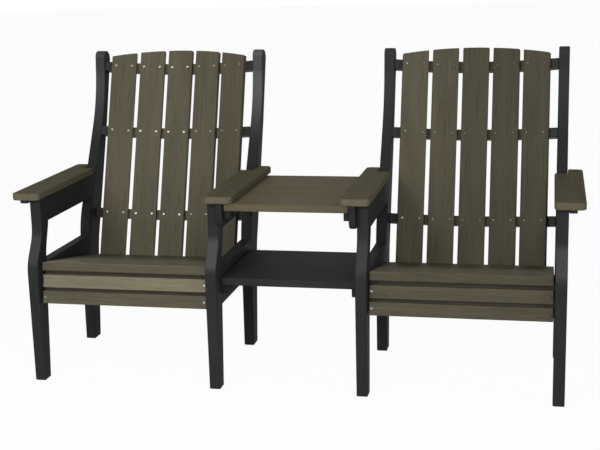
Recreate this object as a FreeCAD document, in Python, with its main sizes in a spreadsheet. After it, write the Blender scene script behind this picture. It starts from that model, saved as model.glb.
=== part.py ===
"""Companion seat bench: two porch chairs joined by a table and a shelf.

Millimetres. +X runs from the left chair to the right one as seen from the
front, +Y runs to the back and +Z up. The origin is on the ground at the
middle of the bench's footprint.
"""
import FreeCAD, Part

import math
import operator
import os
from types import SimpleNamespace

import Sketcher

Vector = FreeCAD.Vector
Rotation = FreeCAD.Rotation
Placement = FreeCAD.Placement

SIDES = {"left": -1, "right": 1}
RAIL_NAMES = ("low", "mid", "top")
SLATS_PER_BACK = 5
SLATS_PER_SEAT = 5

# Driving dimensions. A depth is measured from the front edge of the feet and
# a height from the ground.
DRIVING = {
    # Boards
    "frame_thickness": 36.6,
    "frame_easing": 4,
    "board_easing": 3,
    # Back slats and the clear width that they leave between the side frames
    "slat_width": 92,
    "slat_gap": 16.3,
    "slat_side_gap": 23.1,
    "slat_thickness": 22,
    "slat_bottom_drop": 22,
    "slat_top_rise": 6,
    "slat_top_radius": 1200,
    # Back rails
    "back_height": 1039,
    "recline_angle": 19.4,
    "back_gap": 15,
    "rail_arc_radius": 900,
    "rail_depth": 40,
    "rail_thickness": 34,
    "low_rail_rise": 143,
    "mid_rail_height": 755,
    "top_rail_drop": 53,
    # Seat
    "seat_front_height": 403,
    "seat_front_depth": 33,
    "seat_slope_angle": 10.6,
    "seat_slat_width": 84,
    "seat_slat_gap": 5,
    "seat_slat_thickness": 28,
    "seat_side_clearance": 3,
    "seat_rear_clearance": 2,
    "fascia_setback": 7.6,
    "fascia_thickness": 22,
    "fascia_width": 43,
    "fascia_top_gap": 13.5,
    "fascia_gap": 10.5,
    "stringer_thickness": 24,
    "apron_thickness": 24,
    # Front legs
    "front_foot_depth": 45,
    "front_knee_drop": 3,
    "front_shoulder_rise": 87,
    "front_shoulder_setback": 57,
    "front_curve_radius": 110,
    "rear_knee_depth": 82,
    "rear_knee_rise": 39,
    "rear_shoulder_depth": 115,
    "rear_shoulder_fall": 7,
    "rear_knee_radius": 180,
    "rear_shoulder_radius": 70,
    # Back legs
    "back_foot_setback": 16.7,
    "back_foot_depth": 54,
    "back_leg_bend_rise": 35,
    "back_leg_bend_setback": 9.7,
    "back_leg_heel_height": 350,
    "back_leg_heel_behind": 54,
    "back_leg_heel_radius": 250,
    "post_hip_height": 783,
    "post_hip_behind": 61,
    "post_hip_radius": 400,
    "post_top_ahead": 19,
    "post_top_depth": 69,
    "post_top_front_radius": 22,
    "post_top_rear_radius": 30,
    "post_neck_drop": 176,
    "post_neck_behind": 26,
    "post_neck_radius": 480,
    "post_waist_radius": 250,
    # Side rails
    "side_rail_drop": 133,
    "side_rail_height": 124,
    "arm_rail_height": 83,
    # Arms
    "arm_rise": 206,
    "arm_thickness": 24,
    "arm_front_depth": 30,
    "arm_seat_overhang": 7.2,
    "arm_outer_overhang": 50.6,
    "arm_corner_radius": 18,
    "arm_tongue": 45,
    "arm_easing": 5,
    "arm_post_gap": 38,
    "arm_post_clearance": 1,
    "arm_cleat_width": 25,
    "arm_cleat_height": 12,
    "arm_cleat_front": 40,
    "arm_cleat_radius": 7,
    # Table and shelf
    "table_gap": 447.2,
    "table_thickness": 24,
    "table_front_depth": 40,
    "table_rear_gap": 12,
    "table_end_clearance": 3,
    "table_support_thickness": 20.5,
    "table_support_height": 75,
    "table_support_front": 27,
    "table_support_radius": 28,
    "table_cleat_width": 20,
    "table_cleat_height": 27,
    "table_cleat_inset": 10,
    "shelf_underside": 338.5,
    "shelf_thickness": 25.5,
    "shelf_front_depth": 48,
    "shelf_length": 376,
    "shelf_end_clearance": 2,
    "shelf_cleat_width": 20,
    "shelf_cleat_height": 29,
    "shelf_cleat_inset": 10,
    # Screws
    "screw_head_diameter": 9,
    "screw_head_height": 2.4,
    "screw_crown_radius": 3.24,
    "screw_crown_height": 1.8,
    "screw_diameter": 4.6,
    "screw_length": 48,
    "screw_hole_clearance": 0.4,
    "screw_edge_distance": 16,
    "fascia_screw_end_distance": 9,
}


class Size:
    """A number that remembers the sheet formula it comes from."""

    def __init__(self, value, formula):
        self.value = value
        self.formula = formula

    def __add__(self, other):
        return combine(self, "+", other)

    def __sub__(self, other):
        return combine(self, "-", other)

    def __mul__(self, other):
        return combine(self, "*", other)

    def __truediv__(self, other):
        return combine(self, "/", other)

    def __radd__(self, other):
        return combine(other, "+", self)

    def __rsub__(self, other):
        return combine(other, "-", self)

    def __rmul__(self, other):
        return combine(other, "*", self)

    def __neg__(self):
        return combine(0, "-", self)


OPERATIONS = {
    "+": operator.add,
    "-": operator.sub,
    "*": operator.mul,
    "/": operator.truediv,
}


def as_size(number):
    """A plain number as a Size."""
    return number if isinstance(number, Size) else Size(float(number), f"({float(number)})")


def combine(first, sign, second):
    first, second = as_size(first), as_size(second)
    value = OPERATIONS[sign](first.value, second.value)
    return Size(value, f"({first.formula} {sign} {second.formula})")


def sine(angle):
    return Size(math.sin(math.radians(angle.value)), f"sin({angle.formula})")


def cosine(angle):
    return Size(math.cos(math.radians(angle.value)), f"cos({angle.formula})")


def tangent(angle):
    return Size(math.tan(math.radians(angle.value)), f"tan({angle.formula})")


def root(square):
    return Size(math.sqrt(square.value), f"sqrt({square.formula})")


def bow_depth(radius, half_chord):
    """How far an arc stands out from its chord."""
    return radius - root(radius * radius - half_chord * half_chord)


def between(height, low, high):
    """The depth at a height on the straight line through two (depth, height) points."""
    share = (height - low[1]) / (high[1] - low[1])
    return low[0] + (high[0] - low[0]) * share


# Document and sheet

doc = FreeCAD.newDocument("companion_bench")
sheet = doc.addObject("Spreadsheet::Sheet", "sizes")
for row, (alias, number) in enumerate(DRIVING.items(), 1):
    sheet.set(f"A{row}", alias)
    sheet.set(f"B{row}", str(number))
    sheet.setAlias(f"B{row}", alias)
doc.recompute()
dim = SimpleNamespace(**{alias: Size(float(number), f"sizes.{alias}") for alias, number in DRIVING.items()})

# Places that several sub-parts share

seat_width = SLATS_PER_BACK * dim.slat_width + (SLATS_PER_BACK - 1) * dim.slat_gap + 2 * dim.slat_side_gap
half_seat = seat_width / 2
half_table_gap = dim.table_gap / 2
chair_centre = half_table_gap + dim.frame_thickness + half_seat

seat_run = SLATS_PER_SEAT * dim.seat_slat_width + (SLATS_PER_SEAT - 1) * dim.seat_slat_gap
seat_rear_depth = dim.seat_front_depth + seat_run * cosine(dim.seat_slope_angle)
seat_rear_height = dim.seat_front_height - seat_run * sine(dim.seat_slope_angle)

side_rail_bottom = dim.seat_front_height - dim.side_rail_drop
side_rail_top = side_rail_bottom + dim.side_rail_height
arm_underside = dim.seat_front_height + dim.arm_rise
arm_rail_bottom = arm_underside - dim.arm_rail_height
slat_bottom = seat_rear_height - dim.slat_bottom_drop
rail_bow = bow_depth(dim.rail_arc_radius, half_seat)
rear_arc_radius = dim.rail_arc_radius + dim.rail_depth
rear_bow = bow_depth(rear_arc_radius, half_seat)
rail_heights = {
    "low": seat_rear_height + dim.low_rail_rise,
    "mid": dim.mid_rail_height,
    "top": dim.back_height - dim.top_rail_drop,
}


def rail_line(height):
    """Depth of the rails' front ends, and so of the back, at a height."""
    rise = height - seat_rear_height
    return seat_rear_depth + dim.back_gap + tangent(dim.recline_angle) * rise


front_foot = (dim.front_foot_depth, as_size(0))
front_knee = (dim.rear_knee_depth, side_rail_top + dim.rear_knee_rise)
back_foot = (seat_rear_depth - dim.back_foot_setback, as_size(0))
back_waist = (seat_rear_depth - dim.back_leg_bend_setback, dim.seat_front_height + dim.back_leg_bend_rise)
neck_height = dim.back_height - dim.post_neck_drop
back_neck = (rail_line(neck_height) + dim.post_neck_behind, neck_height)
arm_rear_depth = between(arm_underside, back_waist, back_neck)

# The top rail's rear edge is the rearmost place; its easing is allowed for.
rear_reach = (
    rail_line(rail_heights["top"])
    + (rear_bow + dim.rail_depth - dim.board_easing) * cosine(dim.recline_angle)
    + (dim.rail_thickness / 2 - dim.board_easing) * sine(dim.recline_angle)
    + dim.board_easing
)
middle_depth = rear_reach / 2


# Making boards

def bind(item, name, size):
    """Ties one property of an object to the sheet."""
    item.setExpression(name, as_size(size).formula)


def new_sketch(body, role):
    """A sketch on one of the body's own origin planes."""
    sketch = body.newObject("Sketcher::SketchObject", body.Name + "_sketch")
    plane = next(item for item in body.Origin.OriginFeatures if item.Role == role)
    sketch.AttachmentSupport = [(plane, "")]
    sketch.MapMode = "FlatFace"
    return sketch


def hold(sketch, kind, references, size):
    """Adds a dimension to a sketch and ties it to the sheet."""
    index = sketch.addConstraint(Sketcher.Constraint(kind, *references, as_size(size).value))
    bind(sketch, f"Constraints[{index}]", size)


def hold_point(sketch, geometry, position, across, up):
    hold(sketch, "DistanceX", (-1, 1, geometry, position), across)
    hold(sketch, "DistanceY", (-1, 1, geometry, position), up)


def corner(across, up, rounding=None, bow=None, hollow=False):
    """A corner of an outline, listed anticlockwise.

    rounding is the radius at the corner. bow is the radius of the edge from
    this corner to the next one, where that edge is an arc, and a hollow edge
    bends into the board.
    """
    return SimpleNamespace(
        across=as_size(across), up=as_size(up), rounding=rounding, bow=bow, hollow=hollow,
        point=Vector(as_size(across).value, as_size(up).value, 0),
    )


def arc_of(centre, start, end):
    """The anticlockwise arc from one point to another."""
    angles = [math.atan2(place.y - centre.y, place.x - centre.x) for place in (start, end)]
    circle = Part.Circle(centre, Vector(0, 0, 1), (start - centre).Length)
    return Part.ArcOfCircle(circle, *angles)


def bowed_edge(first, second):
    """The arc between two corners, and the ends of it that meet them."""
    chord = second.point - first.point
    inward = Vector(-chord.y, chord.x, 0).normalize()
    depth = math.sqrt(first.bow.value ** 2 - (chord.Length / 2) ** 2)
    middle = (first.point + second.point) / 2
    if first.hollow:
        return arc_of(middle - inward * depth, second.point, first.point), 2, 1
    return arc_of(middle + inward * depth, first.point, second.point), 1, 2


def rounding_at(before, here, after):
    """Where a corner's rounding meets its edges, and the arc's centre and turn."""
    back = (before.point - here.point).normalize()
    onward = (after.point - here.point).normalize()
    half_angle = back.getAngle(onward) / 2
    reach = here.rounding.value / math.tan(half_angle)
    centre = here.point + (back + onward).normalize() * (here.rounding.value / math.sin(half_angle))
    turns_left = back.cross(onward).z < 0
    return here.point + back * reach, here.point + onward * reach, centre, turns_left


def draw_outline(sketch, corners):
    """Draws a closed outline and ties every corner and radius to the sheet."""
    count = len(corners)
    rounds = {}
    for index, here in enumerate(corners):
        if here.rounding is not None:
            rounds[index] = rounding_at(corners[index - 1], here, corners[(index + 1) % count])

    edge_ends = []
    for index, here in enumerate(corners):
        following = (index + 1) % count
        if here.bow is not None:
            geometry, start_end, finish_end = bowed_edge(here, corners[following])
        else:
            start = rounds[index][1] if index in rounds else here.point
            finish = rounds[following][0] if following in rounds else corners[following].point
            geometry, start_end, finish_end = Part.LineSegment(start, finish), 1, 2
        edge_ends.append((sketch.addGeometry(geometry, False), start_end, finish_end))

    for index, here in enumerate(corners):
        edge_in, _, end_in = edge_ends[index - 1]
        edge_out, end_out, _ = edge_ends[index]
        if index not in rounds:
            sketch.addConstraint(Sketcher.Constraint("Coincident", edge_in, end_in, edge_out, end_out))
            hold_point(sketch, edge_out, end_out, here.across, here.up)
            continue
        first, last, centre, turns_left = rounds[index]
        ends = (first, last) if turns_left else (last, first)
        arc = sketch.addGeometry(arc_of(centre, *ends), False)
        meets = (1, 2) if turns_left else (2, 1)
        mark = sketch.addGeometry(Part.Point(here.point), True)
        sketch.addConstraint([
            Sketcher.Constraint("Tangent", edge_in, end_in, arc, meets[0]),
            Sketcher.Constraint("Tangent", arc, meets[1], edge_out, end_out),
            Sketcher.Constraint("PointOnObject", mark, 1, edge_in),
            Sketcher.Constraint("PointOnObject", mark, 1, edge_out),
        ])
        hold(sketch, "Radius", (arc,), here.rounding)
        hold_point(sketch, mark, 1, here.across, here.up)

    for index, here in enumerate(corners):
        if here.bow is not None:
            hold(sketch, "Radius", (edge_ends[index][0],), here.bow)


def rectangle(across, up, rounding=(None, None, None, None)):
    """Corners of a rectangle from two (low, high) pairs."""
    places = ((0, 0), (1, 0), (1, 1), (0, 1))
    return [corner(across[i], up[j], radius) for (i, j), radius in zip(places, rounding)]


def board(name, role, corners, thickness, easing):
    """A board: an outline on one origin plane, padded, with its edges eased."""
    body = doc.addObject("PartDesign::Body", name)
    body.Label = name
    sketch = new_sketch(body, role)
    draw_outline(sketch, corners)
    pad = body.newObject("PartDesign::Pad", name + "_pad")
    pad.Profile = sketch
    bind(pad, "Length", thickness)
    fillet = body.newObject("PartDesign::Fillet", name + "_easing")
    fillet.Base = (pad, ["Edge1"])
    fillet.UseAllEdges = True
    bind(fillet, "Radius", easing)
    body.Tip = fillet
    return body


def side_board(name, corners, thickness, easing=dim.frame_easing):
    """A board standing front to back, outlined in depth and height."""
    return board(name, "YZ_Plane", corners, thickness, easing)


def flat_board(name, corners, thickness, easing=dim.board_easing):
    """A board lying flat, outlined from above."""
    return board(name, "XY_Plane", corners, thickness, easing)


def place(item, across, depth, height, tilt=None, turn=0.0):
    """Sets an object at its place, tilted back and then turned about its own height."""
    tilted = Rotation(Vector(-1, 0, 0), tilt.value if tilt is not None else 0)
    turned = Rotation(Vector(0, 0, -1), turn)
    base = [as_size(across), as_size(depth) - middle_depth, as_size(height)]
    item.Placement = Placement(Vector(*[size.value for size in base]), tilted.multiply(turned))
    for axis, size in zip("xyz", base):
        bind(item, f"Placement.Base.{axis}", size)
    if tilt is not None and turn == 0.0:
        bind(item, "Placement.Rotation.Angle", tilt)
    nodes.append(item)
    return item


nodes = []


# Screws and their holes

def screw_shape():
    """One pan-head screw: its head seats at the origin and it drives along +Z."""
    head, rise = dim.screw_head_diameter.value / 2, dim.screw_head_height.value
    shank = dim.screw_diameter.value / 2
    length = dim.screw_length.value
    shoulder = Vector(dim.screw_crown_radius.value, 0, -dim.screw_crown_height.value)
    crown = Part.Arc(Vector(0, 0, -rise), shoulder, Vector(head, 0, 0))
    outline = [Vector(head, 0, 0), Vector(shank, 0, 0), Vector(shank, 0, length - head), Vector(0, 0, length)]
    lines = Part.makePolygon(outline + [Vector(0, 0, -rise)]).Edges
    face = Part.Face(Part.Wire([crown.toShape()] + lines))
    return face.revolve(Vector(0, 0, 0), Vector(0, 0, 1), 360)


def hole_shape():
    """The room that one screw's shank takes in the boards."""
    radius = (dim.screw_diameter + dim.screw_hole_clearance).value / 2
    depth = (dim.screw_length + dim.screw_hole_clearance).value
    return Part.makeCylinder(radius, depth)


def compound_of(name, shape, places):
    """A group of copies of one shape."""
    item = doc.addObject("Part::Feature", name)
    item.Shape = Part.makeCompound([shape.transformed(spot.toMatrix()) for spot in places])
    item.Label = name
    return item


def drilled(item, places):
    """Bores a board for the screws that enter it, and takes over its name."""
    name = item.Label
    item.Label = name + "_blank"
    nodes.remove(item)
    cut = doc.addObject("Part::Cut", name + "_drilled")
    cut.Base = item
    cut.Tool = compound_of(name + "_bores", hole_shape(), places)
    cut.Label = name
    nodes.append(cut)
    return cut


# Side frames

def front_leg(name, across):
    shoulder = dim.front_shoulder_setback
    seat_height = dim.seat_front_height
    top = arm_underside
    corners = [
        corner(0, 0),
        corner(*front_foot),
        corner(*front_knee, dim.rear_knee_radius),
        corner(dim.rear_shoulder_depth, arm_rail_bottom - dim.rear_shoulder_fall, dim.rear_shoulder_radius),
        corner(dim.rear_shoulder_depth, top),
        corner(shoulder, top),
        corner(shoulder, seat_height + dim.front_shoulder_rise, dim.front_curve_radius),
        corner(0, seat_height - dim.front_knee_drop, dim.front_curve_radius),
    ]
    place(side_board(name, corners, dim.frame_thickness), across, 0, 0)


def back_leg(name, across):
    heel = dim.back_leg_heel_height
    hip = dim.post_hip_height
    top = dim.back_height
    top_front = rail_line(top) - dim.post_top_ahead
    corners = [
        corner(*back_foot),
        corner(back_foot[0] + dim.back_foot_depth, 0),
        corner(rail_line(heel) + dim.back_leg_heel_behind, heel, dim.back_leg_heel_radius),
        corner(rail_line(hip) + dim.post_hip_behind, hip, dim.post_hip_radius),
        corner(top_front + dim.post_top_depth, top, dim.post_top_rear_radius),
        corner(top_front, top, dim.post_top_front_radius),
        corner(*back_neck, dim.post_neck_radius),
        corner(*back_waist, dim.post_waist_radius),
    ]
    place(side_board(name, corners, dim.frame_thickness), across, 0, 0)


def seat_side_rail(name, across):
    low, high = side_rail_bottom, side_rail_top
    corners = [
        corner(between(low, front_foot, front_knee), low),
        corner(between(low, back_foot, back_waist), low),
        corner(between(high, back_foot, back_waist), high),
        corner(between(high, front_foot, front_knee), high),
    ]
    place(side_board(name, corners, dim.frame_thickness), across, 0, 0)


def under_arm_rail(name, across):
    low, high = arm_rail_bottom, arm_underside
    corners = [
        corner(dim.rear_shoulder_depth, low),
        corner(between(low, back_waist, back_neck), low),
        corner(between(high, back_waist, back_neck), high),
        corner(dim.rear_shoulder_depth, high),
    ]
    place(side_board(name, corners, dim.frame_thickness), across, 0, 0)


def armrest(name, across, outward):
    """An arm, cut out at the back for the post; outward is the way its wide overhang faces."""
    seat_edge = -outward * dim.arm_seat_overhang
    far_edge = outward * (dim.frame_thickness + dim.arm_outer_overhang)
    cut_side = outward * (dim.frame_thickness + dim.arm_post_clearance)
    cut_front = arm_rear_depth - dim.arm_post_gap
    front, rear = dim.arm_front_depth, arm_rear_depth + dim.arm_tongue
    radius = dim.arm_corner_radius
    corners = [
        corner(seat_edge, front, radius),
        corner(far_edge, front, radius),
        corner(far_edge, rear, radius),
        corner(cut_side, rear),
        corner(cut_side, cut_front),
        corner(seat_edge, cut_front),
    ]
    if outward < 0:
        corners.reverse()
    place(flat_board(name, corners, dim.arm_thickness, dim.arm_easing), across, 0, arm_underside)


def outer_arm_cleat(name, across):
    ends = (dim.arm_cleat_front, arm_rear_depth)
    heights = (arm_underside - dim.arm_cleat_height, arm_underside)
    corners = rectangle(ends, heights, (dim.arm_cleat_radius, None, None, None))
    place(side_board(name, corners, dim.arm_cleat_width, dim.board_easing), across, 0, 0)


def side_frame(side, which, inner_face, outward):
    """One side of a chair; inner_face is the X of its face towards the seat."""
    label = f"{side}_{which}"
    across = inner_face if outward > 0 else inner_face - dim.frame_thickness
    front_leg(f"front_leg_{label}", across)
    back_leg(f"back_leg_{label}", across)
    seat_side_rail(f"seat_side_rail_{label}", across)
    under_arm_rail(f"under_arm_rail_{label}", across)
    armrest(f"armrest_{label}", inner_face, outward)
    if which == "outer":
        cleat_side = dim.frame_thickness if outward > 0 else -dim.frame_thickness - dim.arm_cleat_width
        outer_arm_cleat(f"outer_arm_cleat_{side}", inner_face + cleat_side)


# Backs

def back_rail(name, centre, height):
    half = half_seat
    corners = [
        corner(-half, 0, bow=dim.rail_arc_radius, hollow=True),
        corner(half, 0),
        corner(half, dim.rail_depth, bow=rear_arc_radius),
        corner(-half, dim.rail_depth),
    ]
    body = flat_board(name, corners, dim.rail_thickness)
    half_thickness = dim.rail_thickness / 2
    depth = rail_line(height) - half_thickness * sine(dim.recline_angle)
    return place(body, centre, depth, height - half_thickness * cosine(dim.recline_angle), dim.recline_angle)


def slat_top(offset):
    """Length of a slat at a distance from the middle of the back."""
    top = dim.back_height + dim.slat_top_rise - slat_bottom
    radius = dim.slat_top_radius
    return top / cosine(dim.recline_angle) - (radius - root(radius * radius - offset * offset))


def screw_heights():
    """Where the rails cross a slat, measured along it."""
    return [(height - slat_bottom) / cosine(dim.recline_angle) for height in rail_heights.values()]


def back_slat(name, centre, step):
    """One slat, step places from the middle one, and where its screws are."""
    half = dim.slat_width / 2
    pitch = dim.slat_width + dim.slat_gap
    offset = step * pitch
    corners = [
        corner(-half, 0),
        corner(half, 0),
        corner(half, slat_top(offset + half), bow=dim.slat_top_radius),
        corner(-half, slat_top(offset - half)),
    ]
    body = board(name, "XZ_Plane", corners, dim.slat_thickness, dim.board_easing)

    screw_offset = half - dim.screw_edge_distance
    spots = [(side * screw_offset, height) for height in screw_heights() for side in (-1, 1)]
    holes = new_sketch(body, "XZ_Plane")
    for across, up in spots:
        centre_point = Vector(across.value, up.value, 0)
        circle = Part.Circle(centre_point, Vector(0, 0, 1), dim.screw_diameter.value / 2)
        geometry = holes.addGeometry(circle, False)
        hold(holes, "Diameter", (geometry,), dim.screw_diameter + dim.screw_hole_clearance)
        hold_point(holes, geometry, 3, across, up)
    pocket = body.newObject("PartDesign::Pocket", name + "_holes")
    pocket.Profile = holes
    pocket.Type = "ThroughAll"
    pocket.Reversed = True
    body.Tip = pocket

    # The slat's rear face is a chord of the rails' arc.
    angle = offset / dim.rail_arc_radius * (180 / math.pi)
    chord_distance = root(dim.rail_arc_radius * dim.rail_arc_radius - half * half)
    behind = rail_bow - dim.rail_arc_radius + chord_distance * cosine(angle)
    place(
        body,
        centre + chord_distance * sine(angle),
        rail_line(slat_bottom) + behind * cosine(dim.recline_angle),
        slat_bottom - behind * sine(dim.recline_angle),
        dim.recline_angle,
        angle.value,
    )
    front = -dim.slat_thickness.value
    drive = Rotation(Vector(1, 0, 0), -90)
    return [body.Placement * Placement(Vector(x.value, front, z.value), drive) for x, z in spots]


def chair_back(side, centre):
    """The rails and slats of one back; returns the places of its screws."""
    steps = [index - (SLATS_PER_BACK - 1) // 2 for index in range(SLATS_PER_BACK)]
    slat_screws = []
    for index, step in enumerate(steps, 1):
        slat_screws.append(back_slat(f"back_slat_{side}_{index}", centre, step))
    for row, rail_name in enumerate(RAIL_NAMES):
        rail = back_rail(f"back_rail_{side}_{rail_name}", centre, rail_heights[rail_name])
        drilled(rail, [spot for spots in slat_screws for spot in spots[2 * row:2 * row + 2]])
    return [spot for spots in slat_screws for spot in spots]


# Seats

def on_seat(along, above):
    """Depth and height of a place given along and above the sloping seat."""
    slope = dim.seat_slope_angle
    depth = dim.seat_front_depth + along * cosine(slope) + above * sine(slope)
    height = dim.seat_front_height - along * sine(slope) + above * cosine(slope)
    return depth, height


def seat_slats(name, centre):
    """The seat's slats, one solid each, as one node."""
    half = half_seat - dim.seat_side_clearance
    slats = []
    for index in range(SLATS_PER_SEAT):
        along = index * (dim.seat_slat_width + dim.seat_slat_gap)
        corners = rectangle((-half, half), (along, along + dim.seat_slat_width))
        slats.append(flat_board(f"{name}_{index + 1}", corners, dim.seat_slat_thickness))
    group = doc.addObject("Part::Compound", name)
    group.Links = slats
    group.Label = name
    depth, height = on_seat(as_size(0), -dim.seat_slat_thickness)
    place_on_slope(group, centre, depth, height)


def place_on_slope(item, across, depth, height):
    """Sets an object at its place, tipped down to the back with the seat."""
    place(item, across, depth, height)
    item.Placement = Placement(item.Placement.Base, Rotation(Vector(-1, 0, 0), dim.seat_slope_angle.value))
    bind(item, "Placement.Rotation.Angle", dim.seat_slope_angle)


fascia_tops = {
    "upper": -(dim.seat_slat_thickness + dim.fascia_top_gap),
    "lower": -(dim.seat_slat_thickness + dim.fascia_top_gap + dim.fascia_width + dim.fascia_gap),
}


def fascia_slat(name, centre, top):
    """A slat across the front of the seat, square to the seat."""
    half = half_seat - dim.seat_side_clearance
    corners = rectangle((-half, half), (as_size(0), dim.fascia_thickness))
    body = flat_board(name, corners, dim.fascia_width)
    depth, height = on_seat(dim.fascia_setback, top - dim.fascia_width)
    place_on_slope(body, centre, depth, height)
    middle = dim.fascia_width.value / 2
    reach = (half - dim.fascia_screw_end_distance).value
    drive = Rotation(Vector(1, 0, 0), -90)
    spots = [body.Placement * Placement(Vector(way * reach, 0, middle), drive) for way in SIDES.values()]
    drilled(body, spots)
    return spots


def seat_stringer(name, across, screws):
    """The board inside a side rail that carries the slats and, on its end, the fascia."""
    front = dim.fascia_setback + dim.fascia_thickness
    under = -dim.seat_slat_thickness
    rear = seat_run - dim.seat_rear_clearance
    top_front, top_rear = on_seat(front, under), on_seat(rear, under)
    bottom_front = top_front[0] - (top_front[1] - side_rail_bottom) * tangent(dim.seat_slope_angle)
    corners = [
        corner(bottom_front, side_rail_bottom),
        corner(top_rear[0], side_rail_bottom),
        corner(*top_rear),
        corner(*top_front),
    ]
    body = side_board(name, corners, dim.stringer_thickness, dim.board_easing)
    drilled(place(body, across, 0, 0), screws)


def seat_apron(name, centre):
    """The board right across behind the fascia, between the stringers."""
    half = half_seat - dim.stringer_thickness
    corners = rectangle((-half, half), (as_size(0), dim.apron_thickness))
    top = -dim.seat_slat_thickness
    height = top - fascia_tops["lower"] + dim.fascia_width
    body = flat_board(name, corners, height)
    place_on_slope(body, centre, *on_seat(dim.fascia_setback + dim.fascia_thickness, top - height))


def chair_seat(side, centre, inner_way):
    """The slats, fascia, apron and stringers of one seat; returns the places of its screws."""
    seat_slats(f"seat_slats_{side}", centre)
    seat_apron(f"seat_apron_{side}", centre)
    screws = [fascia_slat(f"fascia_slat_{side}_{row}", centre, top) for row, top in fascia_tops.items()]
    low_x = centre - half_seat
    high_x = centre + half_seat - dim.stringer_thickness
    names = ("outer", "inner") if inner_way > 0 else ("inner", "outer")
    for index, (which, across) in enumerate(zip(names, (low_x, high_x))):
        seat_stringer(f"seat_stringer_{side}_{which}", across, [pair[index] for pair in screws])
    return [spot for pair in screws for spot in pair]


# Table and shelf

def table_support(name, across):
    ends = (dim.table_support_front, arm_rear_depth + dim.arm_tongue - dim.arm_easing)
    heights = (arm_underside - dim.table_support_height, arm_underside)
    corners = rectangle(ends, heights, (dim.table_support_radius, None, None, None))
    place(side_board(name, corners, dim.table_support_thickness, dim.board_easing), across, 0, 0)


table_rear_depth = arm_rear_depth - dim.table_rear_gap
table_underside = arm_underside - dim.table_thickness
support_face = half_table_gap - dim.table_support_thickness


def cleat(name, across, width, ends, top, height):
    """A strip along a side face that carries the end of a board."""
    corners = rectangle(ends, (top - height, top))
    place(side_board(name, corners, width, dim.board_easing), across, 0, 0)


def low_face(way, face, width):
    """X of the lower side of a board that lies against a face, towards the middle."""
    return face - width if way > 0 else -face


def table_and_shelf():
    half_table = support_face - dim.table_end_clearance
    corners = rectangle((-half_table, half_table), (dim.table_front_depth, table_rear_depth))
    place(flat_board("table_top", corners, dim.table_thickness), 0, 0, table_underside)

    half_shelf = half_table_gap - dim.shelf_end_clearance
    shelf_rear = dim.shelf_front_depth + dim.shelf_length
    corners = rectangle((-half_shelf, half_shelf), (dim.shelf_front_depth, shelf_rear))
    place(flat_board("shelf", corners, dim.shelf_thickness), 0, 0, dim.shelf_underside)

    table_ends = (dim.table_front_depth + dim.table_cleat_inset, table_rear_depth - dim.table_cleat_inset)
    shelf_ends = (dim.shelf_front_depth + dim.shelf_cleat_inset, shelf_rear - dim.shelf_cleat_inset)
    for side, way in SIDES.items():
        table_support(f"table_support_{side}", low_face(way, half_table_gap, dim.table_support_thickness))
        cleat(f"table_cleat_{side}", low_face(way, support_face, dim.table_cleat_width),
              dim.table_cleat_width, table_ends, table_underside, dim.table_cleat_height)
        cleat(f"shelf_cleat_{side}", low_face(way, half_table_gap, dim.shelf_cleat_width),
              dim.shelf_cleat_width, shelf_ends, dim.shelf_underside, dim.shelf_cleat_height)


# Whole bench

def screw_group(name, places):
    """Screws as one node, one solid each."""
    nodes.append(compound_of(name, screw_shape(), places))


back_screws, fascia_screws = [], []
for side, way in SIDES.items():
    centre = way * chair_centre
    side_frame(side, "outer", centre + way * half_seat, way)
    side_frame(side, "inner", centre - way * half_seat, -way)
    back_screws += chair_back(side, centre)
    fascia_screws += chair_seat(side, centre, -way)
table_and_shelf()
screw_group("back_slat_screws", back_screws)
screw_group("fascia_screws", fascia_screws)
doc.recompute()

for item in doc.Objects:
    if "Invalid" in item.State or "Error" in item.State:
        raise RuntimeError(f"{item.Name} failed: {item.State}")
for item in nodes:
    if item.Shape.isNull() or not item.Shape.isValid():
        raise RuntimeError(f"{item.Label} has no valid shape")

os.makedirs("parts", exist_ok=True)
for item in nodes:
    item.Shape.exportStep(f"parts/{item.Label}.step")
    box = item.Shape.BoundBox
    print(f"{item.Label}: {len(item.Shape.Solids)} solids, volume {item.Shape.Volume:.0f}, "
          f"x {box.XMin:.1f} {box.XMax:.1f} y {box.YMin:.1f} {box.YMax:.1f} z {box.ZMin:.1f} {box.ZMax:.1f}")
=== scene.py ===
"""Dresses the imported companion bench: lumber and screws, studio and camera."""

import logging
import math
from abc import ABC, abstractmethod
from dataclasses import dataclass, field, replace
from enum import Enum

import bpy
from mathutils import Matrix, Vector


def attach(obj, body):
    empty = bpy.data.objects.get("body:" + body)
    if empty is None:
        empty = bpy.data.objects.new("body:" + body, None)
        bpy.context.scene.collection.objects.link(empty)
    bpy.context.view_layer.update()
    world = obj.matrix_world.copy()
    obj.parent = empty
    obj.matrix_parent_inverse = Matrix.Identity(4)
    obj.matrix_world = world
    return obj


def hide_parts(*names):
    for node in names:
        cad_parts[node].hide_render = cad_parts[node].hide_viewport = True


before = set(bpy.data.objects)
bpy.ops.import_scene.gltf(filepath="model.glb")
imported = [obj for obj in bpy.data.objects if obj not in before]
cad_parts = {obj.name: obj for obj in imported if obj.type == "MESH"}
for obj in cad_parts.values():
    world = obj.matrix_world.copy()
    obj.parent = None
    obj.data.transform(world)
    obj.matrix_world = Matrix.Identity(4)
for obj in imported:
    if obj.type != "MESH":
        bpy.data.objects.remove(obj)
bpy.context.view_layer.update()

LOG = logging.getLogger("bench")
SIDES = ("left", "right")
RAIL_ROWS = ("low", "mid", "top")

# The level that noise swings around.
NOISE_MIDDLE = 0.5
# A place on the Y axis that lies behind the whole bench.
BEHIND_BENCH = 10.0
# Where a Mix node that mixes colours has its factor, its two colours and its result.
MIX_FACTOR = 0
MIX_FIRST = 6
MIX_SECOND = 7
MIX_RESULT = 2

Colour = tuple[float, float, float]
Place = tuple[float, float, float]
Socket = bpy.types.NodeSocket


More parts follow.
